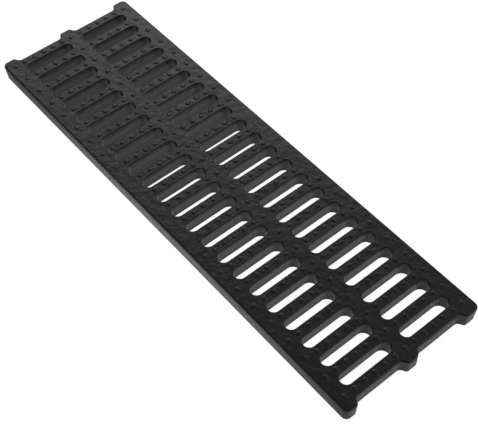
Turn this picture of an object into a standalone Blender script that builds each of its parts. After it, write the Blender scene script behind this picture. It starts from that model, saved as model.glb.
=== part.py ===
"""Channel drain grate: one iron casting with two columns of slots and a studded tread.

Metres, +Z up. The origin is the middle of the underside. X runs along the channel, Y across it.
"""

from math import cos, pi, radians, sin, tan, tau

import bmesh
import bpy

# Overall size
LENGTH = 0.500  # along the channel, over the end tabs
WIDTH = 0.1487  # across the channel
THICKNESS = 0.0163  # from the underside to the tread
SIDE_DRAFT = 0.0009  # how far sides and ends have leaned in at the underside
CORNER_RADIUS = 0.0050  # of the four corners, seen from above
EDGE_CHAMFER = 0.0015  # round the rim of the tread

# Slots: two columns of equal slots with full round ends
PITCH = 0.02162  # from slot to slot
SLOT_COUNT = round(LENGTH / PITCH) - 1  # in each column, one fewer than bars
SLOT_WIDTH = 0.0124  # at the tread
SLOT_DRAFT = 0.0013  # how far each long wall has leaned back at the underside
SLOT_END_DRAFT = 0.0004  # the same for a slot's round ends
RIB_WIDTH = 0.0127  # of the middle rib, between the columns
RAIL_WIDTH = 0.0144  # of each side rail, outside the columns

# End tabs: two grates that meet leave a row of slots between their tabs
END_RECESS = 0.0060  # from the tabs' tips back to the end bars
CENTRE_TAB_WIDTH = 0.0124  # at the tip, corners taken as sharp
CORNER_TAB_WIDTH = 0.0141  # at the tip, from the grate's side
TAB_FLANK_ANGLE = radians(60)  # between the tip and the flank
TAB_TIP_RADIUS = 0.0022
TAB_FOOT_RADIUS = 0.0044

# Studs: a row of them across the grate on every bar
STUDS_EACH_SIDE = 6  # of the one on the middle rib, the last of them on the rail
STUD_INSET = 0.0087  # from the grate's side to the middle of the rail stud
STUD_DIAMETER = 0.0049  # at the foot
STUD_CROWN_DIAMETER = 0.0031  # at the top
STUD_HEIGHT = 0.0010  # above the tread
STUD_ROOT = 0.0005  # how deep a stud's solid reaches into the casting
BARE_BARS = 5  # bars at mid length whose rail studs are left off, for a bare panel

# Facets
SLOT_END_FACETS = 8  # in a half circle
TAB_FACETS = 3  # in each round of a tab's flank
CORNER_FACETS = 4  # in a quarter circle at a corner
STUD_FACETS = 7

CUT_MARGIN = 0.002  # how far a cutter reaches past both faces

SLOT_INNER_Y = RIB_WIDTH / 2
SLOT_OUTER_Y = WIDTH / 2 - RAIL_WIDTH
STUD_PITCH = (WIDTH / 2 - STUD_INSET) / STUDS_EACH_SIDE


def arc(centre_x, centre_y, radius, start, end, facets):
    """Points of an arc in plan, ends included."""
    steps = [start + (end - start) * i / facets for i in range(facets + 1)]
    return [(centre_x + radius * cos(a), centre_y + radius * sin(a)) for a in steps]


def tab_flank(tip_y, inset):
    """A tab's flank in plan, from a tip that ends at this Y out to the face of the end bar."""
    tip_x = LENGTH / 2 - inset
    turn = TAB_FLANK_ANGLE
    tip_radius = TAB_TIP_RADIUS - inset
    foot_radius = TAB_FOOT_RADIUS + inset
    tip_round_y = tip_y - TAB_TIP_RADIUS * tan(turn / 2)
    rounds = TAB_TIP_RADIUS + TAB_FOOT_RADIUS
    straight_run = (END_RECESS - rounds * (1 - cos(turn))) / tan(turn)
    foot_round_x = tip_x - END_RECESS + foot_radius
    foot_round_y = tip_round_y + rounds * sin(turn) + straight_run
    points = arc(tip_x - tip_radius, tip_round_y, tip_radius, 0, turn, TAB_FACETS)
    points += arc(foot_round_x, foot_round_y, foot_radius, pi + turn, pi, TAB_FACETS)
    return points


def quarter_outline(inset):
    """The plan from the end's centre tab round to the side, in the quarter +X, +Y."""
    side_y = WIDTH / 2
    corner_x = LENGTH / 2 - CORNER_RADIUS
    corner_y = side_y - CORNER_RADIUS
    points = tab_flank(CENTRE_TAB_WIDTH / 2, inset)
    points += [(x, side_y - y) for x, y in reversed(tab_flank(CORNER_TAB_WIDTH, inset))]
    points += arc(corner_x, corner_y, CORNER_RADIUS - inset, 0, pi / 2, CORNER_FACETS)
    return points


def outline(inset):
    """The whole plan, anticlockwise, drawn in by the inset all round and mirrored in both axes."""
    quarter = quarter_outline(inset)
    back = list(reversed(quarter))
    points = list(quarter)
    points += [(-x, y) for x, y in back]
    points += [(-x, -y) for x, y in quarter]
    points += [(x, -y) for x, y in back]
    return points


def slot_outline(middle_x, side, height):
    """A slot's plan at a height, a round-ended slot that is wider towards the underside."""
    depth = (THICKNESS - height) / THICKNESS
    radius = SLOT_WIDTH / 2 + SLOT_DRAFT * depth
    inner_y = SLOT_INNER_Y - SLOT_END_DRAFT * depth + radius
    outer_y = SLOT_OUTER_Y + SLOT_END_DRAFT * depth - radius
    points = arc(middle_x, outer_y, radius, 0, pi, SLOT_END_FACETS)
    points += arc(middle_x, inner_y, radius, pi, tau, SLOT_END_FACETS)
    if side > 0:
        return points
    return [(x, -y) for x, y in reversed(points)]


def add_solid(bm, levels):
    """Adds the closed solid through levels, each an anticlockwise plan and its height, upwards."""
    rings = [[bm.verts.new((x, y, height)) for x, y in plan] for plan, height in levels]
    bm.faces.new(list(reversed(rings[0])))
    bm.faces.new(rings[-1])
    for lower, upper in zip(rings, rings[1:]):
        for i, vert in enumerate(lower):
            after = (i + 1) % len(lower)
            bm.faces.new((vert, lower[after], upper[after], upper[i]))


def new_object(name, bm):
    """A mesh object from a bmesh, smooth on its round faces."""
    mesh = bpy.data.meshes.new(name)
    bm.to_mesh(mesh)
    bm.free()
    mesh.shade_smooth()
    mesh.set_sharp_from_angle(angle=pi / 6)
    obj = bpy.data.objects.new(name, mesh)
    bpy.context.scene.collection.objects.link(obj)
    return obj


def casting_blank():
    """The casting without slots and studs: its sides lean in downwards, its rim is chamfered."""
    bm = bmesh.new()
    underside = (outline(SIDE_DRAFT), 0)
    rim = (outline(0), THICKNESS - EDGE_CHAMFER)
    tread = (outline(EDGE_CHAMFER), THICKNESS)
    add_solid(bm, [underside, rim, tread])
    return new_object("grate", bm)


def slot_cutters():
    """All slots as one cutter, each slot a tapered prism that runs past both faces."""
    bm = bmesh.new()
    low_z = -CUT_MARGIN
    high_z = THICKNESS + CUT_MARGIN
    for side in (-1, 1):
        for slot in range(1, SLOT_COUNT + 1):
            middle_x = (slot - (SLOT_COUNT + 1) / 2) * PITCH
            low = slot_outline(middle_x, side, low_z)
            high = slot_outline(middle_x, side, high_z)
            add_solid(bm, [(low, low_z), (high, high_z)])
    return new_object("slot_cutters", bm)


def stud_places():
    """The middle of each stud: a row on every bar, whose rail studs stop at the bare panels."""
    bars = SLOT_COUNT + 1
    first_bare = (bars - BARE_BARS) / 2
    for bar in range(bars):
        middle_x = (bar - SLOT_COUNT / 2) * PITCH
        bare = first_bare <= bar < first_bare + BARE_BARS
        reach = STUDS_EACH_SIDE - 1 if bare else STUDS_EACH_SIDE
        for place in range(-reach, reach + 1):
            yield middle_x, place * STUD_PITCH


def stud_tops():
    """All studs as one solid field of low buttons, rooted in the casting."""
    bm = bmesh.new()
    for x, y in stud_places():
        foot = arc(x, y, STUD_DIAMETER / 2, 0, tau, STUD_FACETS)[:-1]
        crown = arc(x, y, STUD_CROWN_DIAMETER / 2, 0, tau, STUD_FACETS)[:-1]
        root = (foot, THICKNESS - STUD_ROOT)
        add_solid(bm, [root, (foot, THICKNESS), (crown, THICKNESS + STUD_HEIGHT)])
    return new_object("stud_tops", bm)


def combine(target, operand, operation):
    """Adds a Boolean that takes a hidden helper away from the target or joins it on."""
    operand.hide_render = True
    operand.display_type = "WIRE"
    boolean = target.modifiers.new(operand.name, "BOOLEAN")
    boolean.operation = operation
    boolean.solver = "EXACT"
    boolean.object = operand


def black_paint():
    """Satin black paint over cast iron."""
    material = bpy.data.materials.new("black_paint")
    material.use_nodes = True
    shader = material.node_tree.nodes["Principled BSDF"]
    shader.inputs["Base Color"].default_value = (0.035, 0.035, 0.035, 1)
    shader.inputs["Metallic"].default_value = 0
    shader.inputs["Roughness"].default_value = 0.45
    return material


def main():
    for obj in list(bpy.data.objects):
        bpy.data.objects.remove(obj, do_unlink=True)
    grate = casting_blank()
    grate.data.materials.append(black_paint())
    combine(grate, slot_cutters(), "DIFFERENCE")
    combine(grate, stud_tops(), "UNION")


main()
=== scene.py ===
"""Channel drain grate, dressed and lit.

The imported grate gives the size. This add-on casts a finely rounded grate in its place, studs its
tread, paints it satin black and stands it on a pale floor. Metres, +Z up, X along the channel.
"""

import random
from math import cos, pi, radians, sin, tan

import bmesh
import bpy
from bpy.props import FloatProperty, FloatVectorProperty, IntProperty, PointerProperty
from mathutils import Matrix, Vector


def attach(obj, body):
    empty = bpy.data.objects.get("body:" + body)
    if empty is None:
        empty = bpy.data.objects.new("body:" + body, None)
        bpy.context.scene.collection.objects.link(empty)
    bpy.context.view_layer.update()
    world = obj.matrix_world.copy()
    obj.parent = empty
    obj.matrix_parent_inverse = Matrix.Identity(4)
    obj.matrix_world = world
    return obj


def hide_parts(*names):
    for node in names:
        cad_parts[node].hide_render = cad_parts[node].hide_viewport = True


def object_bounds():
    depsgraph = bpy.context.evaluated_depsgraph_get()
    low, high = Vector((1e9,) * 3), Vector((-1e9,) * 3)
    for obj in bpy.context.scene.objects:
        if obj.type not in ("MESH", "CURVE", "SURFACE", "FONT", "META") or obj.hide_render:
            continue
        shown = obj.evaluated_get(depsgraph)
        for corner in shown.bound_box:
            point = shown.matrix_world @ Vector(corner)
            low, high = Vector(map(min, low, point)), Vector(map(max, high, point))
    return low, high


bl_info = {
    "name": "Channel drain grate",
    "version": (1, 0, 0),
    "blender": (4, 5, 0),
    "location": "View3D > Sidebar > Grate",
    "description": "Casts, studs, paints and lights a slotted channel drain grate",
    "category": "Add Mesh",
}

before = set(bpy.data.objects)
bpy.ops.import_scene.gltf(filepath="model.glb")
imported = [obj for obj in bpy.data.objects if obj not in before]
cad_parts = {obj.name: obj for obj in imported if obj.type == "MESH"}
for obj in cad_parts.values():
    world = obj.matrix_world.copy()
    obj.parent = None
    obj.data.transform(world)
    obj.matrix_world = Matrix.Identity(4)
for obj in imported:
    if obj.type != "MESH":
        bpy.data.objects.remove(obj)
CAD_LOW, CAD_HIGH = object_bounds()
CAD_SIZE = CAD_HIGH - CAD_LOW
GRATE_NODE = "grate"
PIECE_NAME = "cast_grate"
STUD_RISE = 0.0010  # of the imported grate's studs
CAST_STUD_RISE = 0.6  # of the studs made here, as a share of that

TINY = 1e-5  # slack when points are picked by their place
MERGE_DISTANCE = 1e-6  # points closer than this are made one
SMOOTH_ANGLE = radians(40)  # edges sharper than this stay sharp
FLAT_AREA = 2e-5  # in square metres, above which a face counts as flat
FLAT_NORMAL = 0.9999  # upward part of a normal, above which a face counts as level
FLOOR_GAP = 2e-4  # between the underside and the floor, so that they don't coincide

# Segments of the rounds, and turns in degrees at which a slot's rounds get a level
CORNER_SEGMENTS = 5
TAB_TIP_SEGMENTS = 4
TAB_FOOT_SEGMENTS = 5
RIM_SEGMENTS = 4
FOOT_SEGMENTS = 2
SLOT_SIDES = 32
SLOT_FOOT_TURNS = (0, 30, 60)
SLOT_LIP_TURNS = (0, 18, 36, 54, 72)
STUD_SIDES = 14

# Levels up a stud, as shares of its rise above the tread and of its radius
STUD_LEVELS = (
    (-0.50, 1.14),
    (-0.03, 1.14),
    (0.08, 1.03),
    (0.30, 0.94),
    (0.62, 0.83),
    (0.86, 0.69),
    (0.97, 0.50),
    (1.00, 0.28),
)
STUD_SEED = 4

# The chip's cutter: a box with rough faces, one of which stands in the tab's corner
CHIP_BEARING = radians(38)  # of that face, from +X towards +Y
CHIP_LEAN = radians(2)
CHIP_BOX_SIZE = 8  # in depths of the chip
CHIP_ROUGHNESS = 0.25  # in depths of the chip
CHIP_EVENNESS = 0.5
CHIP_CUTS = 11
CHIP_SEED = 3

# Noise of the sand grain and of the casting's slow waves
GRAIN_DETAIL = 3
GRAIN_HARSHNESS = 0.6
SWELL_DETAIL = 2
SWELL_HARSHNESS = 0.5
NO_HOLLOW = 1.55  # grain and swell together, where the mask of the low places is 0
PAINT_IOR = 1.5

WALL_CORE = 0.1  # share of the bright wall's reach in which it is even
SIDE_CORE = 0.6  # the same for the side walls
SENSOR_WIDTH = 36  # in millimetres
NEAR_CLIP = 0.01  # in metres


def length_of(name, description, default):
    """A length in metres."""
    return FloatProperty(
        name=name,
        description=description,
        default=default,
        min=0,
        precision=5,
        subtype="DISTANCE",
        unit="LENGTH",
    )


def share_of(name, description, default):
    """A share between nothing and all."""
    return FloatProperty(name=name, description=description, default=default, min=0, max=1)


def angle_of(name, description, default):
    """An angle in radians."""
    return FloatProperty(name=name, description=description, default=default, subtype="ANGLE")


def strength_of(name, description, default):
    """A lamp's or a wall's strength."""
    return FloatProperty(name=name, description=description, default=default, min=0)


def count_of(name, description, default, least):
    """A whole number of like things."""
    return IntProperty(name=name, description=description, default=default, min=least)


def colour_of(name, description, default):
    """A colour in linear light."""
    return FloatVectorProperty(
        name=name, description=description, default=default, size=3, min=0, max=1, subtype="COLOR"
    )


def place_of(name, description, default):
    """A point in metres."""
    return FloatVectorProperty(
        name=name, description=description, default=default, size=3, subtype="TRANSLATION"
    )


class CastingSizes(bpy.types.PropertyGroup):
    """Sizes of the rails, bars, slots and tabs."""

    length: length_of("Length", "Over the end tabs, sharp edges taken at the tread", 0.4997)
    width: length_of("Width", "Across the channel, sharp edges taken at the tread", 0.1485)
    thickness: length_of("Thickness", "Underside to tread", CAD_SIZE.z - STUD_RISE)
    side_draft: length_of("Side draft", "How far sides and ends lean in downwards", 0.0009)
    corner_radius: length_of("Corner radius", "Of the four corners in plan", 0.0050)
    rim_radius: length_of("Rim radius", "Round the edge of the tread", 0.0016)
    foot_radius: length_of("Foot radius", "Round the edge of the underside", 0.0005)
    slot_count: count_of("Slots", "In each column", 22, least=1)
    pitch: length_of("Pitch", "From slot to slot", 0.02162)
    slot_width: length_of("Slot width", "Just under its rounded lip", 0.0114)
    slot_draft: length_of("Slot draft", "How far a long wall leans back", 0.00135)
    end_draft: length_of("End draft", "How far a slot's round end leans back", 0.0003)
    lip_radius: length_of("Lip radius", "Round a slot's edge at the tread", 0.0009)
    ledge_height: length_of("Ledge height", "Where the mould's two halves met", 0.0075)
    ledge_step: length_of("Ledge step", "How far the lower half stands back there", 0.00022)
    rib_width: length_of("Rib width", "Between the two columns of slots", 0.0132)
    rail_width: length_of("Rail width", "Outside the slots", 0.0150)
    end_recess: length_of("End recess", "From the tabs' tips to the end bars", 0.0060)
    centre_tab: length_of("Centre tab", "Width at the tip", 0.0124)
    corner_tab: length_of("Corner tab", "Width at the tip", 0.0141)
    tab_tip_radius: length_of("Tab tip radius", "Of a tab's corner in plan", 0.0026)
    tab_foot_radius: length_of("Tab foot radius", "Where a tab meets the bar", 0.0044)
    bay_shift: length_of("Bay shift", "How far left the near end's two bays lie", 0.0014)
    chip_depth: length_of("Chip depth", "Off the right corner of the near centre tab", 0.0014)
    flank_angle: angle_of("Tab flank", "Between a tab's tip and its flank", radians(60))


class StudSizes(bpy.types.PropertyGroup):
    """Sizes and places of the studs on the tread."""

    diameter: length_of("Diameter", "At the foot", 0.0049)
    rise: length_of("Rise", "Above the tread", CAST_STUD_RISE * STUD_RISE)
    inset: length_of("Inset", "From the grate's side to the rail stud", 0.0087)
    each_side: count_of("Each side", "Studs on either side of the middle one", 6, least=1)
    bare_bars: count_of("Bare bars", "Bars at mid length without rail studs", 5, least=0)
    unevenness: share_of("Unevenness", "How much the studs differ in size", 0.05)


class PaintLook(bpy.types.PropertyGroup):
    """Colour and surface of the painted iron."""

    colour: colour_of("Paint", "Satin black", (0.005, 0.005, 0.005))
    dust: colour_of("Dust", "Grey film in the low places", (0.012, 0.012, 0.012))
    film: share_of("Film", "How much of the dust shows", 0.35)
    roughness: share_of("Roughness", "Of the paint on the tread", 0.22)
    hollow_roughness: share_of("Hollow roughness", "Added in the tread's low places", 0.10)
    lip_roughness: share_of("Lip roughness", "Of the paint just below the tread", 0.40)
    lip_fade: length_of("Lip fade", "Depth below the tread at which the paint gets smoother", 0.0040)
    wall_roughness: share_of("Wall roughness", "Of the paint at the foot of the walls", 0.12)
    grain: length_of("Grain", "Size of a grain of the sand mould", 0.0014)
    grain_depth: length_of("Grain depth", "Height of the grain", 0.00008)
    swell: length_of("Swell", "Size of the casting's slow waves", 0.007)
    swell_depth: length_of("Swell depth", "Height of the slow waves", 0.00045)


class StageLook(bpy.types.PropertyGroup):
    """Floor, lamps and camera."""

    floor_size: length_of("Floor", "Side of the square floor", 6.0)
    floor_colour: colour_of("Floor colour", "Pale grey", (0.80, 0.80, 0.80))
    floor_white: share_of("Floor white", "Seen light of the floor that no shadow dims", 0.94)
    floor_shaded: share_of("Floor shaded", "Seen light of the floor that shadows dim", 0.12)
    mirror_white: share_of("Mirrored white", "The same as Floor white, in reflections", 0.18)
    mirror_shaded: share_of("Mirrored shaded", "The same as Floor shaded, in reflections", 0.68)
    mirror_ends: share_of("Mirrored ends", "Share of that light left where it has faded", 0.36)
    mirror_middle: length_of("Mirrored middle", "Where along X the fading starts", 0.02)
    mirror_reach: length_of("Mirrored reach", "How far from there the light has faded", 0.33)
    # Painted shade: the camera sees the floor under this many far slots in each column painted dark,
    # at this brightness
    painted_shade_slots: count_of("Unlit slots", "Far slots in each column with dark floor below", 9, least=0)
    painted_shade_colour: share_of("Unlit floor", "Brightness of the floor under those slots", 0.05)
    camera_place: place_of("Camera", "Where the camera stands", (0.4828, -0.3489, 0.7265))
    camera_target: place_of("Target", "What the camera looks at", (0.0470, -0.0133, 0.0163))
    camera_roll: angle_of("Roll", "Clockwise turn", radians(2.40))
    lens: FloatProperty(name="Lens", description="Focal length", default=77.12, unit="CAMERA")
    key_power: strength_of("Key lamp", "Watts", 14.0)
    key_size: length_of("Key lamp's size", "Side of the square lamp", 0.8)
    key_place: place_of("Key lamp's place", "Where the lamp hangs", (0.1, -0.4, 1.5))
    room_light: share_of("Room", "Brightness of the dim part of the room", 0.12)
    wall_light: strength_of("Bright wall", "Brightness of the wall behind the grate", 1.85)
    wall_bearing: angle_of("Wall's bearing", "Of its middle, anticlockwise from +X", radians(143))
    wall_reach: angle_of("Wall's reach", "How far round it reaches from its middle", radians(34))
    wall_foot: angle_of("Wall's foot", "Elevation at which it starts to show", radians(5))
    wall_lit: angle_of("Wall's lit height", "Elevation at which its foot is past", radians(34))
    wall_fade: angle_of("Wall's fade", "Elevation at which it starts to fade", radians(36))
    wall_top: angle_of("Wall's top", "Elevation at which it has faded out", radians(57))
    side_light: share_of("Side walls", "Brightness of the dim walls on both sides", 0.40)
    side_gap: angle_of("Side walls' gap", "From the bright wall's middle to their start", radians(15))
    side_start: angle_of("Side walls' start", "From there to their full light", radians(55))
    side_reach: angle_of("Side walls' reach", "From there to where they have ended", radians(160))
    side_fade: angle_of("Side walls' fade", "Elevation at which they start to fade", radians(60))
    side_top: angle_of("Side walls' top", "Elevation at which they have faded out", radians(80))


def activate(obj):
    """Makes the object the only selected and the active one."""
    bpy.ops.object.select_all(action="DESELECT")
    obj.select_set(True)
    bpy.context.view_layer.objects.active = obj


def start_edit(obj):
    """Opens the object in edit mode with nothing selected."""
    activate(obj)
    bpy.ops.object.mode_set(mode="EDIT")
    bpy.ops.mesh.select_mode(type="VERT")
    bpy.ops.mesh.select_all(action="DESELECT")


def end_edit():
    """Closes edit mode."""
    bpy.ops.object.mode_set(mode="OBJECT")


def select_points(obj, wanted):
    """In edit mode, selects the points whose place is wanted, and the faces between them."""
    mesh = bmesh.from_edit_mesh(obj.data)
    for vert in mesh.verts:
        vert.select_set(False)
    for vert in mesh.verts:
        if wanted(vert.co):
            vert.select_set(True)
    mesh.select_flush(True)
    bmesh.update_edit_mesh(obj.data)


def select_edges(obj, wanted):
    """In edit mode, selects the edges whose two ends are wanted."""
    bpy.ops.mesh.select_mode(type="EDGE")
    bpy.ops.mesh.select_all(action="DESELECT")
    mesh = bmesh.from_edit_mesh(obj.data)
    for edge in mesh.edges:
        edge.select_set(wanted(edge.verts[0].co, edge.verts[1].co))
    bmesh.update_edit_mesh(obj.data)


def bevel_edges(obj, wanted, offset, segments):
    """In edit mode, rounds the edges whose two ends are wanted."""
    select_edges(obj, wanted)
    bpy.ops.mesh.bevel(offset=offset, segments=segments, affect="EDGES")


def draw_up(obj, height, next_height):
    """In edit mode, extrudes the face at this height up to the next one and selects it there."""
    select_points(obj, lambda co: co.z > height - TINY)
    bpy.ops.mesh.extrude_region_move(TRANSFORM_OT_translate={"value": (0, 0, next_height - height)})


def add_box(middle, size, turn=(0, 0, 0)):
    """A new box, the only selected object, with its place in its mesh."""
    bpy.ops.object.select_all(action="DESELECT")
    bpy.ops.mesh.primitive_cube_add(size=1, location=middle, scale=size, rotation=turn)
    bpy.ops.object.transform_apply(location=True, rotation=True, scale=True)
    return bpy.context.object


def add_disc(sides, radius, middle, turn=0):
    """A new flat disc, the only selected object, with its place in its mesh."""
    bpy.ops.object.select_all(action="DESELECT")
    bpy.ops.mesh.primitive_circle_add(
        vertices=sides, radius=radius, fill_type="NGON", location=middle, rotation=(0, 0, turn)
    )
    bpy.ops.object.transform_apply(location=True, rotation=True, scale=True)
    return bpy.context.object


def apply_modifier(obj, modifier):
    """Applies one modifier of the object."""
    activate(obj)
    bpy.ops.object.modifier_apply(modifier=modifier.name)


def combine(obj, tool, operation):
    """Takes the tool away from the object or joins it on, and deletes the tool."""
    boolean = obj.modifiers.new(operation, "BOOLEAN")
    boolean.operation = operation
    boolean.solver = "EXACT"
    boolean.object = tool
    apply_modifier(obj, boolean)
    bpy.data.objects.remove(tool, do_unlink=True)


def mirror(obj, axes):
    """Adds the object's mirror images across the middle planes of these axes."""
    modifier = obj.modifiers.new("mirror", "MIRROR")
    modifier.use_axis = axes
    modifier.use_mirror_merge = False
    apply_modifier(obj, modifier)


def face_outwards(obj):
    """Turns all faces of a closed mesh outwards."""
    start_edit(obj)
    bpy.ops.mesh.select_all(action="SELECT")
    bpy.ops.mesh.normals_make_consistent(inside=False)
    end_edit()


def cast_blank(sizes):
    """A plain slab of the grate's outer size, whose sides lean in downwards."""
    slab = add_box(
        middle=(0, 0, sizes.thickness / 2), size=(sizes.length, sizes.width, sizes.thickness)
    )
    slab.name = PIECE_NAME
    start_edit(slab)
    select_points(slab, lambda co: co.z < TINY)
    drawn_in = 2 * sizes.side_draft
    bpy.ops.transform.resize(
        value=(1 - drawn_in / sizes.length, 1 - drawn_in / sizes.width, 1),
        center_override=(0, 0, 0),
    )
    end_edit()
    return slab


def flank_offset(sizes, radius):
    """How far from the corner between a tab's tip and its flank a round of this radius starts."""
    return radius * tan(sizes.flank_angle / 2)


def end_notch(sizes):
    """Cutter for the four bays between the end tabs, with slanted flanks and rounded feet."""
    margin = sizes.thickness
    height = sizes.thickness + 2 * margin
    half_length = sizes.length / 2
    lean = 1 / tan(sizes.flank_angle)
    tip_low = sizes.centre_tab / 2
    tip_high = sizes.width / 2 - sizes.corner_tab
    middle_y = (tip_low + tip_high) / 2
    foot_span = tip_high - tip_low - 2 * sizes.end_recess * lean
    mouth_span = tip_high - tip_low + 2 * margin * lean
    depth = sizes.end_recess + margin
    notch = add_box(
        middle=(half_length - sizes.end_recess + depth / 2, middle_y, sizes.thickness / 2),
        size=(depth, foot_span, height),
    )
    start_edit(notch)
    select_points(notch, lambda co: co.x > half_length)
    bpy.ops.transform.resize(
        value=(1, mouth_span / foot_span, 1), center_override=(half_length, middle_y, 0)
    )
    bevel_edges(
        notch,
        lambda a, b: max(a.x, b.x) < half_length and abs(a.z - b.z) > sizes.thickness,
        flank_offset(sizes, sizes.tab_foot_radius),
        TAB_FOOT_SEGMENTS,
    )
    leaned = sizes.side_draft * height / sizes.thickness
    for side in (-1, 1):
        select_points(notch, lambda co, s=side: co.z < 0 and (co.y - middle_y) * s > 0)
        aside = side * flank_offset(sizes, leaned)
        bpy.ops.transform.translate(value=(-leaned, aside, 0))
    bpy.ops.mesh.select_all(action="SELECT")
    raised = sizes.side_draft * margin / sizes.thickness
    bpy.ops.transform.translate(value=(raised, 0, 0))
    end_edit()
    face_outwards(notch)
    mirror(notch, (True, True, False))
    start_edit(notch)
    select_points(notch, lambda co: co.x > 0)
    bpy.ops.transform.translate(value=(0, -sizes.bay_shift, 0))
    end_edit()
    return notch


def round_rim(slab, sizes):
    """Rounds the upright corners, the edge of the tread and the edge of the underside."""
    half_length = sizes.length / 2
    half_width = sizes.width / 2
    top = sizes.thickness
    near = 2 * sizes.side_draft + TINY

    def upright(a, b):
        return abs(a.z - b.z) > top / 2 and abs(abs(a.x) - half_length) < near

    start_edit(slab)
    bevel_edges(
        slab,
        lambda a, b: upright(a, b) and abs(a.y) > half_width - near,
        sizes.corner_radius,
        CORNER_SEGMENTS,
    )
    bevel_edges(
        slab,
        lambda a, b: upright(a, b) and abs(a.y) < half_width - sizes.corner_tab / 2,
        flank_offset(sizes, sizes.tab_tip_radius),
        TAB_TIP_SEGMENTS,
    )
    bevel_edges(slab, lambda a, b: min(a.z, b.z) > top - TINY, sizes.rim_radius, RIM_SEGMENTS)
    bevel_edges(slab, lambda a, b: max(a.z, b.z) < TINY, sizes.foot_radius, FOOT_SEGMENTS)
    end_edit()


def corner_chip(sizes):
    """Cutter with a rough face for the chip off the right corner of the near centre tab."""
    size = CHIP_BOX_SIZE * sizes.chip_depth
    out = size / 2 - sizes.chip_depth
    corner_y = sizes.centre_tab / 2 - sizes.bay_shift
    middle_x = sizes.length / 2 + out * cos(CHIP_BEARING)
    middle_y = corner_y + out * sin(CHIP_BEARING)
    chip = add_box(
        middle=(middle_x, middle_y, sizes.thickness / 2),
        size=(size, size, 2 * sizes.thickness),
        turn=(0, -CHIP_LEAN, CHIP_BEARING),
    )
    start_edit(chip)
    bpy.ops.mesh.select_all(action="SELECT")
    bpy.ops.mesh.subdivide(number_cuts=CHIP_CUTS)
    bpy.ops.transform.vertex_random(
        offset=CHIP_ROUGHNESS * sizes.chip_depth, uniform=CHIP_EVENNESS, seed=CHIP_SEED
    )
    end_edit()
    return chip


def slot_middles(sizes):
    """Where along X the middle of each slot lies."""
    first = -sizes.pitch * (sizes.slot_count - 1) / 2
    return [first + i * sizes.pitch for i in range(sizes.slot_count)]


def split_in_bars(slab, sizes):
    """Cuts the slab's faces along the slots' middles and its own, so that no face gets too long."""
    start_edit(slab)
    cuts = [((x, 0, 0), (1, 0, 0)) for x in slot_middles(sizes)]
    for place, across in [((0, 0, 0), (0, 1, 0)), *cuts]:
        bpy.ops.mesh.select_all(action="SELECT")
        bpy.ops.mesh.bisect(plane_co=place, plane_no=across)
    end_edit()


def quarter_round(radius, turns):
    """Points of a quarter round, each with its distances from the flat face and from the wall."""
    return [(radius * (1 - cos(turn)), radius * (1 - sin(turn))) for turn in map(radians, turns)]


def slot_levels(sizes):
    """Heights up a slot, each with how much wider the slot is there than the wall's taper says."""
    top = sizes.thickness
    margin = top / 4
    step = sizes.ledge_step
    step_height = 2 * step
    foot = quarter_round(sizes.foot_radius, SLOT_FOOT_TURNS)
    lip = quarter_round(sizes.lip_radius, SLOT_LIP_TURNS)
    levels = [(-margin, sizes.foot_radius + step)]
    levels += [(up, grown + step) for up, grown in foot]
    levels += [(sizes.foot_radius, step)]
    levels += [(sizes.ledge_height, step)]
    levels += [(sizes.ledge_height + step_height, 0.0)]
    levels += [(top - sizes.lip_radius, 0.0)]
    levels += [(top - down, grown) for down, grown in reversed(lip)]
    levels += [(top + margin, sizes.lip_radius)]
    return levels


def slot_cutter(sizes):
    """Cutter for all slots: one tapered, round-ended slot drawn up level by level, then repeated."""
    top = sizes.thickness
    inner_y = sizes.rib_width / 2
    outer_y = sizes.width / 2 - sizes.rail_width
    middle = Vector((slot_middles(sizes)[0], (inner_y + outer_y) / 2, 0))
    straight = (outer_y - inner_y - sizes.slot_width) / 2

    def leaned(z):
        return max(0, min(1, (top - z) / top))

    def radius_at(z, grown):
        return sizes.slot_width / 2 + sizes.slot_draft * leaned(z) + grown

    def end_at(z):
        return straight - (sizes.slot_draft - sizes.end_draft) * leaned(z)

    levels = slot_levels(sizes)
    height, grown = levels[0]
    half_side = pi / SLOT_SIDES  # turns the disc so that no point lies on the slot's own middle
    cutter = add_disc(
        SLOT_SIDES, radius_at(height, grown), (middle.x, middle.y, height), half_side
    )
    start_edit(cutter)
    for side in (-1, 1):
        select_points(cutter, lambda co, s=side: (co.y - middle.y) * s > 0)
        bpy.ops.transform.translate(value=(0, side * end_at(height), 0))
    for next_height, next_grown in levels[1:]:
        draw_up(cutter, height, next_height)
        scale = radius_at(next_height, next_grown) / radius_at(height, grown)
        for side in (-1, 1):
            select_points(
                cutter,
                lambda co, s=side, z=next_height: co.z > z - TINY and (co.y - middle.y) * s > 0,
            )
            end_y = middle.y + side * end_at(height)
            bpy.ops.transform.resize(
                value=(scale, scale, 1), center_override=(middle.x, end_y, next_height)
            )
            outwards = side * (end_at(next_height) - end_at(height))
            bpy.ops.transform.translate(value=(0, outwards, 0))
        height, grown = next_height, next_grown
    end_edit()
    face_outwards(cutter)
    array = cutter.modifiers.new("column", "ARRAY")
    array.use_relative_offset = False
    array.use_constant_offset = True
    array.constant_offset_displace = (sizes.pitch, 0, 0)
    array.count = sizes.slot_count
    apply_modifier(cutter, array)
    mirror(cutter, (False, True, False))
    return cutter


def stud_places(sizes, studs):
    """The middle of each stud: a row on every bar, without rail studs on the bare bars."""
    bars = sizes.slot_count + 1
    step = (sizes.width / 2 - studs.inset) / studs.each_side
    first_bare = (bars - studs.bare_bars) / 2
    for bar in range(bars):
        bare = first_bare <= bar < first_bare + studs.bare_bars
        reach = studs.each_side - 1 if bare else studs.each_side
        for place in range(-reach, reach + 1):
            yield Vector(((bar - sizes.slot_count / 2) * sizes.pitch, place * step, 0))


def stud_profile(sizes, studs):
    """Heights up a stud with its radius there: a small fillet, a slanted side and a low dome."""
    radius = studs.diameter / 2
    return [(sizes.thickness + up * studs.rise, wide * radius) for up, wide in STUD_LEVELS]


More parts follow.
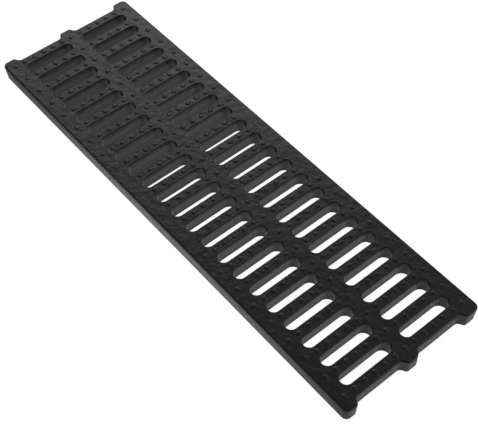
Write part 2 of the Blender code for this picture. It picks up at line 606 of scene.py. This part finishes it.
def single_stud(profile):
    """One stud at the origin, drawn up level by level."""
    height, radius = profile[0]
    stud = add_disc(STUD_SIDES, radius, (0, 0, height))
    start_edit(stud)
    for next_height, next_radius in profile[1:]:
        draw_up(stud, height, next_height)
        scale = next_radius / radius
        bpy.ops.transform.resize(value=(scale, scale, 1), center_override=(0, 0, next_height))
        height, radius = next_height, next_radius
    end_edit()
    face_outwards(stud)
    return stud


def stud_field(sizes, studs):
    """The stud copied to every place, each copy turned and with a small change of size."""
    stud = single_stud(stud_profile(sizes, studs))
    chance = random.Random(STUD_SEED)
    copies = []
    for place in stud_places(sizes, studs):
        copy = stud.copy()
        copy.data = stud.data.copy()
        bpy.context.scene.collection.objects.link(copy)
        wide = 1 + chance.uniform(-1, 1) * studs.unevenness
        turn = Matrix.Rotation(chance.uniform(0, pi), 4, "Z")
        copy.data.transform(Matrix.Translation(place) @ turn @ Matrix.Diagonal((wide, wide, 1, 1)))
        copies.append(copy)
    bpy.data.objects.remove(stud, do_unlink=True)
    bpy.ops.object.select_all(action="DESELECT")
    for copy in copies:
        copy.select_set(True)
    bpy.context.view_layer.objects.active = copies[0]
    bpy.ops.object.join()
    return copies[0]


def finish_surface(obj, tread):
    """Merges doubles, shades the rounds smooth and keeps the flats flat."""
    start_edit(obj)
    bpy.ops.mesh.select_all(action="SELECT")
    bpy.ops.mesh.remove_doubles(threshold=MERGE_DISTANCE)
    bpy.ops.mesh.normals_make_consistent(inside=False)
    end_edit()
    activate(obj)
    bpy.ops.object.shade_smooth_by_angle(angle=SMOOTH_ANGLE)
    start_edit(obj)
    bpy.ops.mesh.select_mode(type="FACE")
    mesh = bmesh.from_edit_mesh(obj.data)
    for face in mesh.faces:
        flat_top = face.normal.z > FLAT_NORMAL and face.calc_center_median().z < tread + TINY
        face.select_set(flat_top or face.calc_area() > FLAT_AREA)
    bmesh.update_edit_mesh(obj.data)
    bpy.ops.mesh.mod_weighted_strength(set=True, face_strength="STRONG")
    end_edit()
    weighted = obj.modifiers.new("flats", "WEIGHTED_NORMAL")
    weighted.keep_sharp = True
    weighted.use_face_influence = True
    apply_modifier(obj, weighted)


def set_inputs(node, values):
    """Gives a node's named inputs their values."""
    for name, value in values.items():
        node.inputs[name].default_value = value


def new_group(name, inputs, outputs):
    """An empty shader node group with named sockets for numbers, and its two end nodes."""
    tree = bpy.data.node_groups.new(name, "ShaderNodeTree")
    for way, sockets in (("INPUT", inputs), ("OUTPUT", outputs)):
        for socket in sockets:
            tree.interface.new_socket(name=socket, in_out=way, socket_type="NodeSocketFloat")
    start = tree.nodes.new("NodeGroupInput")
    end = tree.nodes.new("NodeGroupOutput")
    return tree, start, end


def maths(tree, operation, a, b=0.0):
    """A Math node fed by sockets or plain numbers."""
    node = tree.nodes.new("ShaderNodeMath")
    node.operation = operation
    for socket, value in zip(node.inputs, (a, b)):
        if isinstance(value, bpy.types.NodeSocket):
            tree.links.new(value, socket)
        else:
            socket.default_value = value
    return node.outputs[0]


def product(tree, first, *others):
    """All factors multiplied."""
    for other in others:
        first = maths(tree, "MULTIPLY", first, other)
    return first


def split_place(tree, coordinates):
    """The X, Y and Z sockets of a place in these coordinates."""
    place = tree.nodes.new("ShaderNodeTexCoord").outputs[coordinates]
    split = tree.nodes.new("ShaderNodeSeparateXYZ")
    tree.links.new(place, split.inputs[0])
    return split.outputs


def falling_ramp(tree, value, start, stop):
    """A soft step that is 1 below the start and 0 above the stop."""
    ramp = tree.nodes.new("ShaderNodeMapRange")
    ramp.interpolation_type = "SMOOTHSTEP"
    set_inputs(ramp, {"From Min": start, "From Max": stop, "To Min": 1, "To Max": 0})
    tree.links.new(value, ramp.inputs["Value"])
    return ramp.outputs["Result"]


def rising_ramp(tree, value, start, stop):
    """A soft step that is 0 below the start and 1 above the stop."""
    return maths(tree, "SUBTRACT", 1, falling_ramp(tree, value, start, stop))


def noise(tree, place, size, detail, harshness):
    """A Noise node whose size is a length in metres."""
    node = tree.nodes.new("ShaderNodeTexNoise")
    tree.links.new(place, node.inputs["Vector"])
    scale = maths(tree, "DIVIDE", 1.0, size)
    tree.links.new(scale, node.inputs["Scale"])
    set_inputs(node, {"Detail": detail, "Roughness": harshness})
    return node.outputs["Fac"]


def cast_relief():
    """Node group: the height of a sand-cast skin, and a mask of its low places."""
    tree, start, end = new_group(
        "cast_relief", ["Grain", "Grain Depth", "Swell", "Swell Depth"], ["Height", "Hollows"]
    )
    place = tree.nodes.new("ShaderNodeTexCoord").outputs["Object"]
    grain = noise(tree, place, start.outputs["Grain"], GRAIN_DETAIL, GRAIN_HARSHNESS)
    swell = noise(tree, place, start.outputs["Swell"], SWELL_DETAIL, SWELL_HARSHNESS)
    fine = maths(tree, "MULTIPLY", grain, start.outputs["Grain Depth"])
    slow = maths(tree, "MULTIPLY", swell, start.outputs["Swell Depth"])
    tree.links.new(maths(tree, "ADD", fine, slow), end.inputs["Height"])
    mixed = maths(tree, "ADD", grain, swell)
    tree.links.new(maths(tree, "SUBTRACT", NO_HOLLOW, mixed), end.inputs["Hollows"])
    return tree


def below_tread(tree, tread, depth):
    """Mask that is 1 on the walls and sides and fades out around this depth below the tread."""
    height = split_place(tree, "Object")["Z"]
    return falling_ramp(tree, height, tread - 2 * depth, tread - depth / 2)


def black_paint(look, sizes):
    """Satin black paint over sand-cast iron, with a faint grey film in its low places."""
    material = bpy.data.materials.new("black_paint")
    material.use_nodes = True
    tree = material.node_tree
    shader = tree.nodes["Principled BSDF"]
    relief = tree.nodes.new("ShaderNodeGroup")
    relief.node_tree = cast_relief()
    surface = {
        "Grain": look.grain,
        "Grain Depth": look.grain_depth,
        "Swell": look.swell,
        "Swell Depth": look.swell_depth,
    }
    set_inputs(relief, surface)
    bump = tree.nodes.new("ShaderNodeBump")
    set_inputs(bump, {"Strength": 1.0, "Distance": 1.0})
    tree.links.new(relief.outputs["Height"], bump.inputs["Height"])
    tree.links.new(bump.outputs["Normal"], shader.inputs["Normal"])
    mix = tree.nodes.new("ShaderNodeMix")
    mix.data_type = "RGBA"
    set_inputs(mix, {"A": (*look.colour, 1), "B": (*look.dust, 1)})
    film = maths(tree, "MULTIPLY", relief.outputs["Hollows"], look.film)
    tree.links.new(film, mix.inputs["Factor"])
    tree.links.new(mix.outputs["Result"], shader.inputs["Base Color"])
    walls = below_tread(tree, sizes.thickness, sizes.lip_radius)
    deep = below_tread(tree, sizes.thickness, look.lip_fade)
    smoother = maths(tree, "MULTIPLY", deep, look.lip_roughness - look.wall_roughness)
    wall = maths(tree, "SUBTRACT", look.lip_roughness, smoother)
    added = maths(tree, "MULTIPLY", relief.outputs["Hollows"], look.hollow_roughness)
    rough = maths(tree, "ADD", added, look.roughness)
    change = maths(tree, "MULTIPLY", walls, maths(tree, "SUBTRACT", wall, rough))
    tree.links.new(maths(tree, "ADD", rough, change), shader.inputs["Roughness"])
    shader.inputs["IOR"].default_value = PAINT_IOR
    return material


def white_with_shadow(tree, white, shaded):
    """A surface that is white of its own, with a part on top that shadows dim."""
    matt = tree.nodes.new("ShaderNodeBsdfDiffuse")
    matt.inputs["Color"].default_value = (shaded, shaded, shaded, 1)
    glow = tree.nodes.new("ShaderNodeEmission")
    glow.inputs["Strength"].default_value = white
    both = tree.nodes.new("ShaderNodeAddShader")
    tree.links.new(glow.outputs[0], both.inputs[0])
    tree.links.new(matt.outputs[0], both.inputs[1])
    return both.outputs[0]


def choose(tree, factor, plain, other):
    """A Mix Shader that gives the other surface where the factor is 1."""
    mix = tree.nodes.new("ShaderNodeMixShader")
    tree.links.new(factor, mix.inputs[0])
    tree.links.new(plain, mix.inputs[1])
    tree.links.new(other, mix.inputs[2])
    return mix.outputs[0]


def painted_shade_patch(tree, sizes, slots):
    """Mask of the painted shade on the floor under the far slots, which ends under a bar, the rails
    and the far end.
    """
    place = split_place(tree, "Object")
    bar = (slots - sizes.slot_count / 2) * sizes.pitch
    soft = sizes.rib_width / 3
    far_end = -sizes.length / 2 + sizes.pitch / 2
    rail = sizes.width / 2 - sizes.rail_width / 2
    before = falling_ramp(tree, place["X"], bar - soft, bar + soft)
    beyond = falling_ramp(tree, place["X"], far_end - soft, far_end + soft)
    across = maths(tree, "ABSOLUTE", place["Y"])
    between = falling_ramp(tree, across, rail - soft, rail + soft)
    along = maths(tree, "SUBTRACT", before, beyond)
    return maths(tree, "MULTIPLY", along, between)


def mirrored_middle(tree, look, sizes):
    """Mask of the reflected floor: from 1 in the middle, it fades by half towards the near end.

    To the left of the grate it fades out towards both ends.
    """
    place = split_place(tree, "Object")
    along = maths(tree, "SUBTRACT", place["X"], look.mirror_middle)
    away = maths(tree, "ABSOLUTE", along)
    beside = falling_ramp(tree, away, 0, look.mirror_reach)
    near = falling_ramp(tree, along, 0, look.mirror_reach)
    below = maths(tree, "MULTIPLY", maths(tree, "ADD", near, 1), 0.5)
    side = -sizes.width / 2
    left = falling_ramp(tree, place["Y"], side, side + sizes.rail_width / 2)
    change = maths(tree, "MULTIPLY", left, maths(tree, "SUBTRACT", beside, below))
    return maths(tree, "ADD", below, change)


def floor_paint(look, sizes):
    """Pale floor that the camera and reflections see as white, with a faint shadow left in it and a
    painted shade under the far slots.
    """
    material = bpy.data.materials.new("pale_floor")
    material.use_nodes = True
    tree = material.node_tree
    tree.nodes.clear()
    matt = tree.nodes.new("ShaderNodeBsdfDiffuse")
    matt.inputs["Color"].default_value = (*look.floor_colour, 1)
    seen = white_with_shadow(tree, look.floor_white, look.floor_shaded)
    # Painted shade: under the far slots the camera sees the floor painted dark instead of white
    painted_shade_floor = white_with_shadow(tree, look.painted_shade_colour, 0)
    seen = choose(tree, painted_shade_patch(tree, sizes, look.painted_shade_slots), seen, painted_shade_floor)
    ends = white_with_shadow(
        tree, look.mirror_white * look.mirror_ends, look.mirror_shaded * look.mirror_ends
    )
    mirrored = white_with_shadow(tree, look.mirror_white, look.mirror_shaded)
    mirrored = choose(tree, mirrored_middle(tree, look, sizes), ends, mirrored)
    path = tree.nodes.new("ShaderNodeLightPath")
    bounced = maths(
        tree, "MAXIMUM", path.outputs["Is Glossy Ray"], path.outputs["Is Transmission Ray"]
    )
    surface = choose(tree, bounced, matt.outputs[0], mirrored)
    surface = choose(tree, path.outputs["Is Camera Ray"], surface, seen)
    end = tree.nodes.new("ShaderNodeOutputMaterial")
    tree.links.new(surface, end.inputs["Surface"])
    return material


def lay_floor(look, sizes):
    """A square floor just below the underside."""
    bpy.ops.object.select_all(action="DESELECT")
    bpy.ops.mesh.primitive_plane_add(size=look.floor_size, location=(0, 0, -FLOOR_GAP))
    floor = bpy.context.object
    floor.name = "pale_floor"
    floor.data.materials.append(floor_paint(look, sizes))


def light_room(look):
    """A dim room: a bright wall behind the grate and dim ones beside it, all fading upwards.

    The bright wall fades towards its foot too.
    """
    world = bpy.data.worlds.new("room")
    world.use_nodes = True
    tree = world.node_tree
    background = tree.nodes["Background"]
    background.inputs["Color"].default_value = (1, 1, 1, 1)
    way = split_place(tree, "Generated")
    elevation = maths(tree, "ARCSINE", way["Z"])
    bearing = maths(tree, "ARCTAN2", way["Y"], way["X"])
    aside = maths(tree, "ABSOLUTE", maths(tree, "SUBTRACT", bearing, look.wall_bearing))
    behind = falling_ramp(tree, aside, look.wall_reach * WALL_CORE, look.wall_reach)
    low = falling_ramp(tree, elevation, look.wall_fade, look.wall_top)
    above_foot = rising_ramp(tree, elevation, look.wall_foot, look.wall_lit)
    bright = product(tree, behind, low, above_foot, look.wall_light)
    within = falling_ramp(tree, aside, look.side_reach * SIDE_CORE, look.side_reach)
    clear_of_middle = rising_ramp(tree, aside, look.side_gap, look.side_start)
    below = falling_ramp(tree, elevation, look.side_fade, look.side_top)
    dim = product(tree, within, clear_of_middle, below, look.side_light)
    strength = maths(tree, "ADD", maths(tree, "ADD", bright, dim), look.room_light)
    tree.links.new(strength, background.inputs["Strength"])
    bpy.context.scene.world = world


def hang_key_lamp(look):
    """A soft lamp, high and to the camera's left, that doesn't show in reflections."""
    lamp = bpy.data.lights.new("key_lamp", "AREA")
    lamp.shape = "SQUARE"
    lamp.size = look.key_size
    lamp.energy = look.key_power
    obj = bpy.data.objects.new("key_lamp", lamp)
    bpy.context.scene.collection.objects.link(obj)
    obj.location = look.key_place
    obj.rotation_euler = (-obj.location).to_track_quat("-Z", "Y").to_euler()
    obj.visible_glossy = False


def set_camera(look):
    """The camera at the photograph's place, aimed at its target and then rolled."""
    camera = bpy.data.cameras.new("camera")
    camera.lens = look.lens
    camera.sensor_width = SENSOR_WIDTH
    camera.clip_start = NEAR_CLIP
    obj = bpy.data.objects.new("camera", camera)
    bpy.context.scene.collection.objects.link(obj)
    gaze = Vector(look.camera_target) - Vector(look.camera_place)
    upright = gaze.to_track_quat("-Z", "Y").to_matrix()
    turned = upright @ Matrix.Rotation(-look.camera_roll, 3, "Z")
    obj.matrix_world = Matrix.Translation(look.camera_place) @ turned.to_4x4()
    bpy.context.scene.camera = obj


class GRATE_OT_casting(bpy.types.Operator):
    """Cast the rails, bars, slots and end tabs"""

    bl_idname = "grate.casting"
    bl_label = "Cast the grate"

    def execute(self, context):
        sizes = context.scene.grate_casting
        casting = cast_blank(sizes)
        combine(casting, end_notch(sizes), "DIFFERENCE")
        round_rim(casting, sizes)
        combine(casting, corner_chip(sizes), "DIFFERENCE")
        split_in_bars(casting, sizes)
        combine(casting, slot_cutter(sizes), "DIFFERENCE")
        return {"FINISHED"}


class GRATE_OT_studs(bpy.types.Operator):
    """Raise the studs on the tread"""

    bl_idname = "grate.studs"
    bl_label = "Stud the tread"

    def execute(self, context):
        scene = context.scene
        casting = bpy.data.objects[PIECE_NAME]
        combine(casting, stud_field(scene.grate_casting, scene.grate_studs), "UNION")
        finish_surface(casting, scene.grate_casting.thickness)
        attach(casting, "root")
        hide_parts(GRATE_NODE)
        return {"FINISHED"}


class GRATE_OT_paint(bpy.types.Operator):
    """Paint the casting satin black"""

    bl_idname = "grate.paint"
    bl_label = "Paint the grate"

    def execute(self, context):
        scene = context.scene
        casting = bpy.data.objects[PIECE_NAME]
        casting.data.materials.clear()
        casting.data.materials.append(black_paint(scene.grate_paint, scene.grate_casting))
        return {"FINISHED"}


class GRATE_OT_stage(bpy.types.Operator):
    """Lay the floor and set the lamps and the camera"""

    bl_idname = "grate.stage"
    bl_label = "Set the stage"

    def execute(self, context):
        look = context.scene.grate_stage
        lay_floor(look, context.scene.grate_casting)
        light_room(look)
        hang_key_lamp(look)
        set_camera(look)
        context.scene.view_settings.view_transform = "Standard"
        return {"FINISHED"}


class GRATE_PT_panel(bpy.types.Panel):
    """The steps that make the grate, in order"""

    bl_label = "Channel drain grate"
    bl_idname = "GRATE_PT_panel"
    bl_space_type = "VIEW_3D"
    bl_region_type = "UI"
    bl_category = "Grate"

    def draw(self, context):
        for operator in OPERATORS:
            self.layout.operator(operator.bl_idname)


GROUPS = {
    "grate_casting": CastingSizes,
    "grate_studs": StudSizes,
    "grate_paint": PaintLook,
    "grate_stage": StageLook,
}
OPERATORS = (GRATE_OT_casting, GRATE_OT_studs, GRATE_OT_paint, GRATE_OT_stage)


def register():
    """Registers the classes and gives the scene its groups of values."""
    for group in GROUPS.values():
        bpy.utils.register_class(group)
    for name, group in GROUPS.items():
        setattr(bpy.types.Scene, name, PointerProperty(type=group))
    for operator in OPERATORS:
        bpy.utils.register_class(operator)
    bpy.utils.register_class(GRATE_PT_panel)


def unregister():
    """Takes back what register has done."""
    bpy.utils.unregister_class(GRATE_PT_panel)
    for operator in reversed(OPERATORS):
        bpy.utils.unregister_class(operator)
    for name in GROUPS:
        delattr(bpy.types.Scene, name)
    for group in reversed(GROUPS.values()):
        bpy.utils.unregister_class(group)


def main():
    register()
    bpy.ops.grate.casting()
    bpy.ops.grate.studs()
    bpy.ops.grate.paint()
    bpy.ops.grate.stage()


if __name__ == "__main__":
    main()
